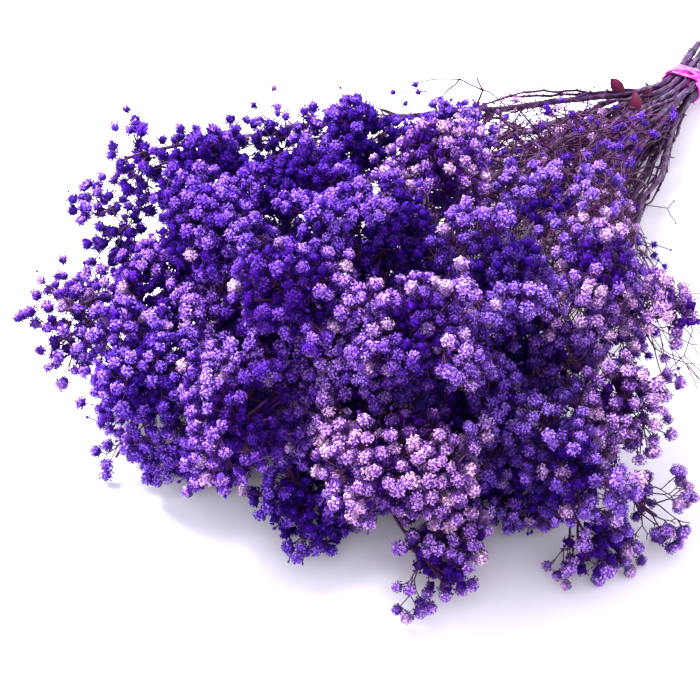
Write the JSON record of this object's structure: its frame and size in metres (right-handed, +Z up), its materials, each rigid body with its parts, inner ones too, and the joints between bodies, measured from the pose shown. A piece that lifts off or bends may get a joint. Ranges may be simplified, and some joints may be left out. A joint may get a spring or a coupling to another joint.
{
  "type": "bunch of preserved gypsophila",
  "caption": "Lying bunch of dyed, preserved gypsophila: branching stems tied with a pink elastic, with dense clumps of small violet double flowers.",
  "frame": {"origin": "on the surface that the bunch lies on, under the middle of its bounding box", "axes": "+Y along the bunch from the flowers to the cut ends, +Z up from the surface, +X across"},
  "size_m": [0.3376, 0.5664, 0.1632],
  "materials": {
    "stem": "matte, finely ribbed, dyed plum purple with magenta to brown patches",
    "flower_violet": "matte, thin ruffled petals, deep violet to blue violet",
    "flower_lilac": "matte, thin ruffled petals, mid violet with lilac tips",
    "flower_pale": "matte, thin ruffled petals, pale lilac to pinkish white with violet hearts",
    "tie": "glossy, soft, slightly clear magenta elastic"
  },
  "bodies": {
    "root": {"stem_01": "stem", "flower_tuft_01_a": "flower_violet", "flower_tuft_01_b": "flower_violet", "flower_tuft_01_c": "flower_violet", "flower_tuft_01_d": "flower_violet", "stem_02": "stem", "flower_tuft_02_a": "flower_violet", "flower_tuft_02_b": "flower_violet", "flower_tuft_02_c": "flower_violet", "stem_03": "stem", "flower_tuft_03_a": "flower_violet", "flower_tuft_03_b": "flower_pale", "flower_tuft_03_c": "flower_lilac", "flower_tuft_03_d": "flower_violet", "stem_04": "stem", "flower_tuft_04_a": "flower_violet", "flower_tuft_04_b": "flower_violet", "flower_tuft_04_c": "flower_lilac", "flower_tuft_04_d": "flower_lilac", "stem_05": "stem", "flower_tuft_05_a": "flower_lilac", "flower_tuft_05_b": "flower_lilac", "flower_tuft_05_c": "flower_violet", "flower_tuft_05_d": "flower_violet", "stem_06": "stem", "flower_tuft_06_a": "flower_violet", "flower_tuft_06_b": "flower_lilac", "flower_tuft_06_c": "flower_violet", "stem_07": "stem", "flower_tuft_07_a": "flower_lilac", "flower_tuft_07_b": "flower_lilac", "flower_tuft_07_c": "flower_violet", "stem_08": "stem", "flower_tuft_08_a": "flower_pale", "flower_tuft_08_b": "flower_violet", "flower_tuft_08_c": "flower_violet", "stem_09": "stem", "flower_tuft_09_a": "flower_violet", "flower_tuft_09_b": "flower_pale", "flower_tuft_09_c": "flower_pale", "flower_tuft_09_d": "flower_lilac", "stem_10": "stem", "flower_tuft_10_a": "flower_violet", "flower_tuft_10_b": "flower_violet", "flower_tuft_10_c": "flower_violet", "stem_11": "stem", "flower_tuft_11_a": "flower_violet", "flower_tuft_11_b": "flower_violet", "flower_tuft_11_c": "flower_violet", "stem_12": "stem", "flower_tuft_12_a": "flower_lilac", "flower_tuft_12_b": "flower_violet", "flower_tuft_12_c": "flower_pale", "flower_tuft_12_d": "flower_violet", "stem_13": "stem", "flower_tuft_13_a": "flower_lilac", "flower_tuft_13_b": "flower_violet", "flower_tuft_13_c": "flower_lilac", "flower_tuft_13_d": "flower_violet", "tie_band": "tie"}
  },
  "joints": []
}
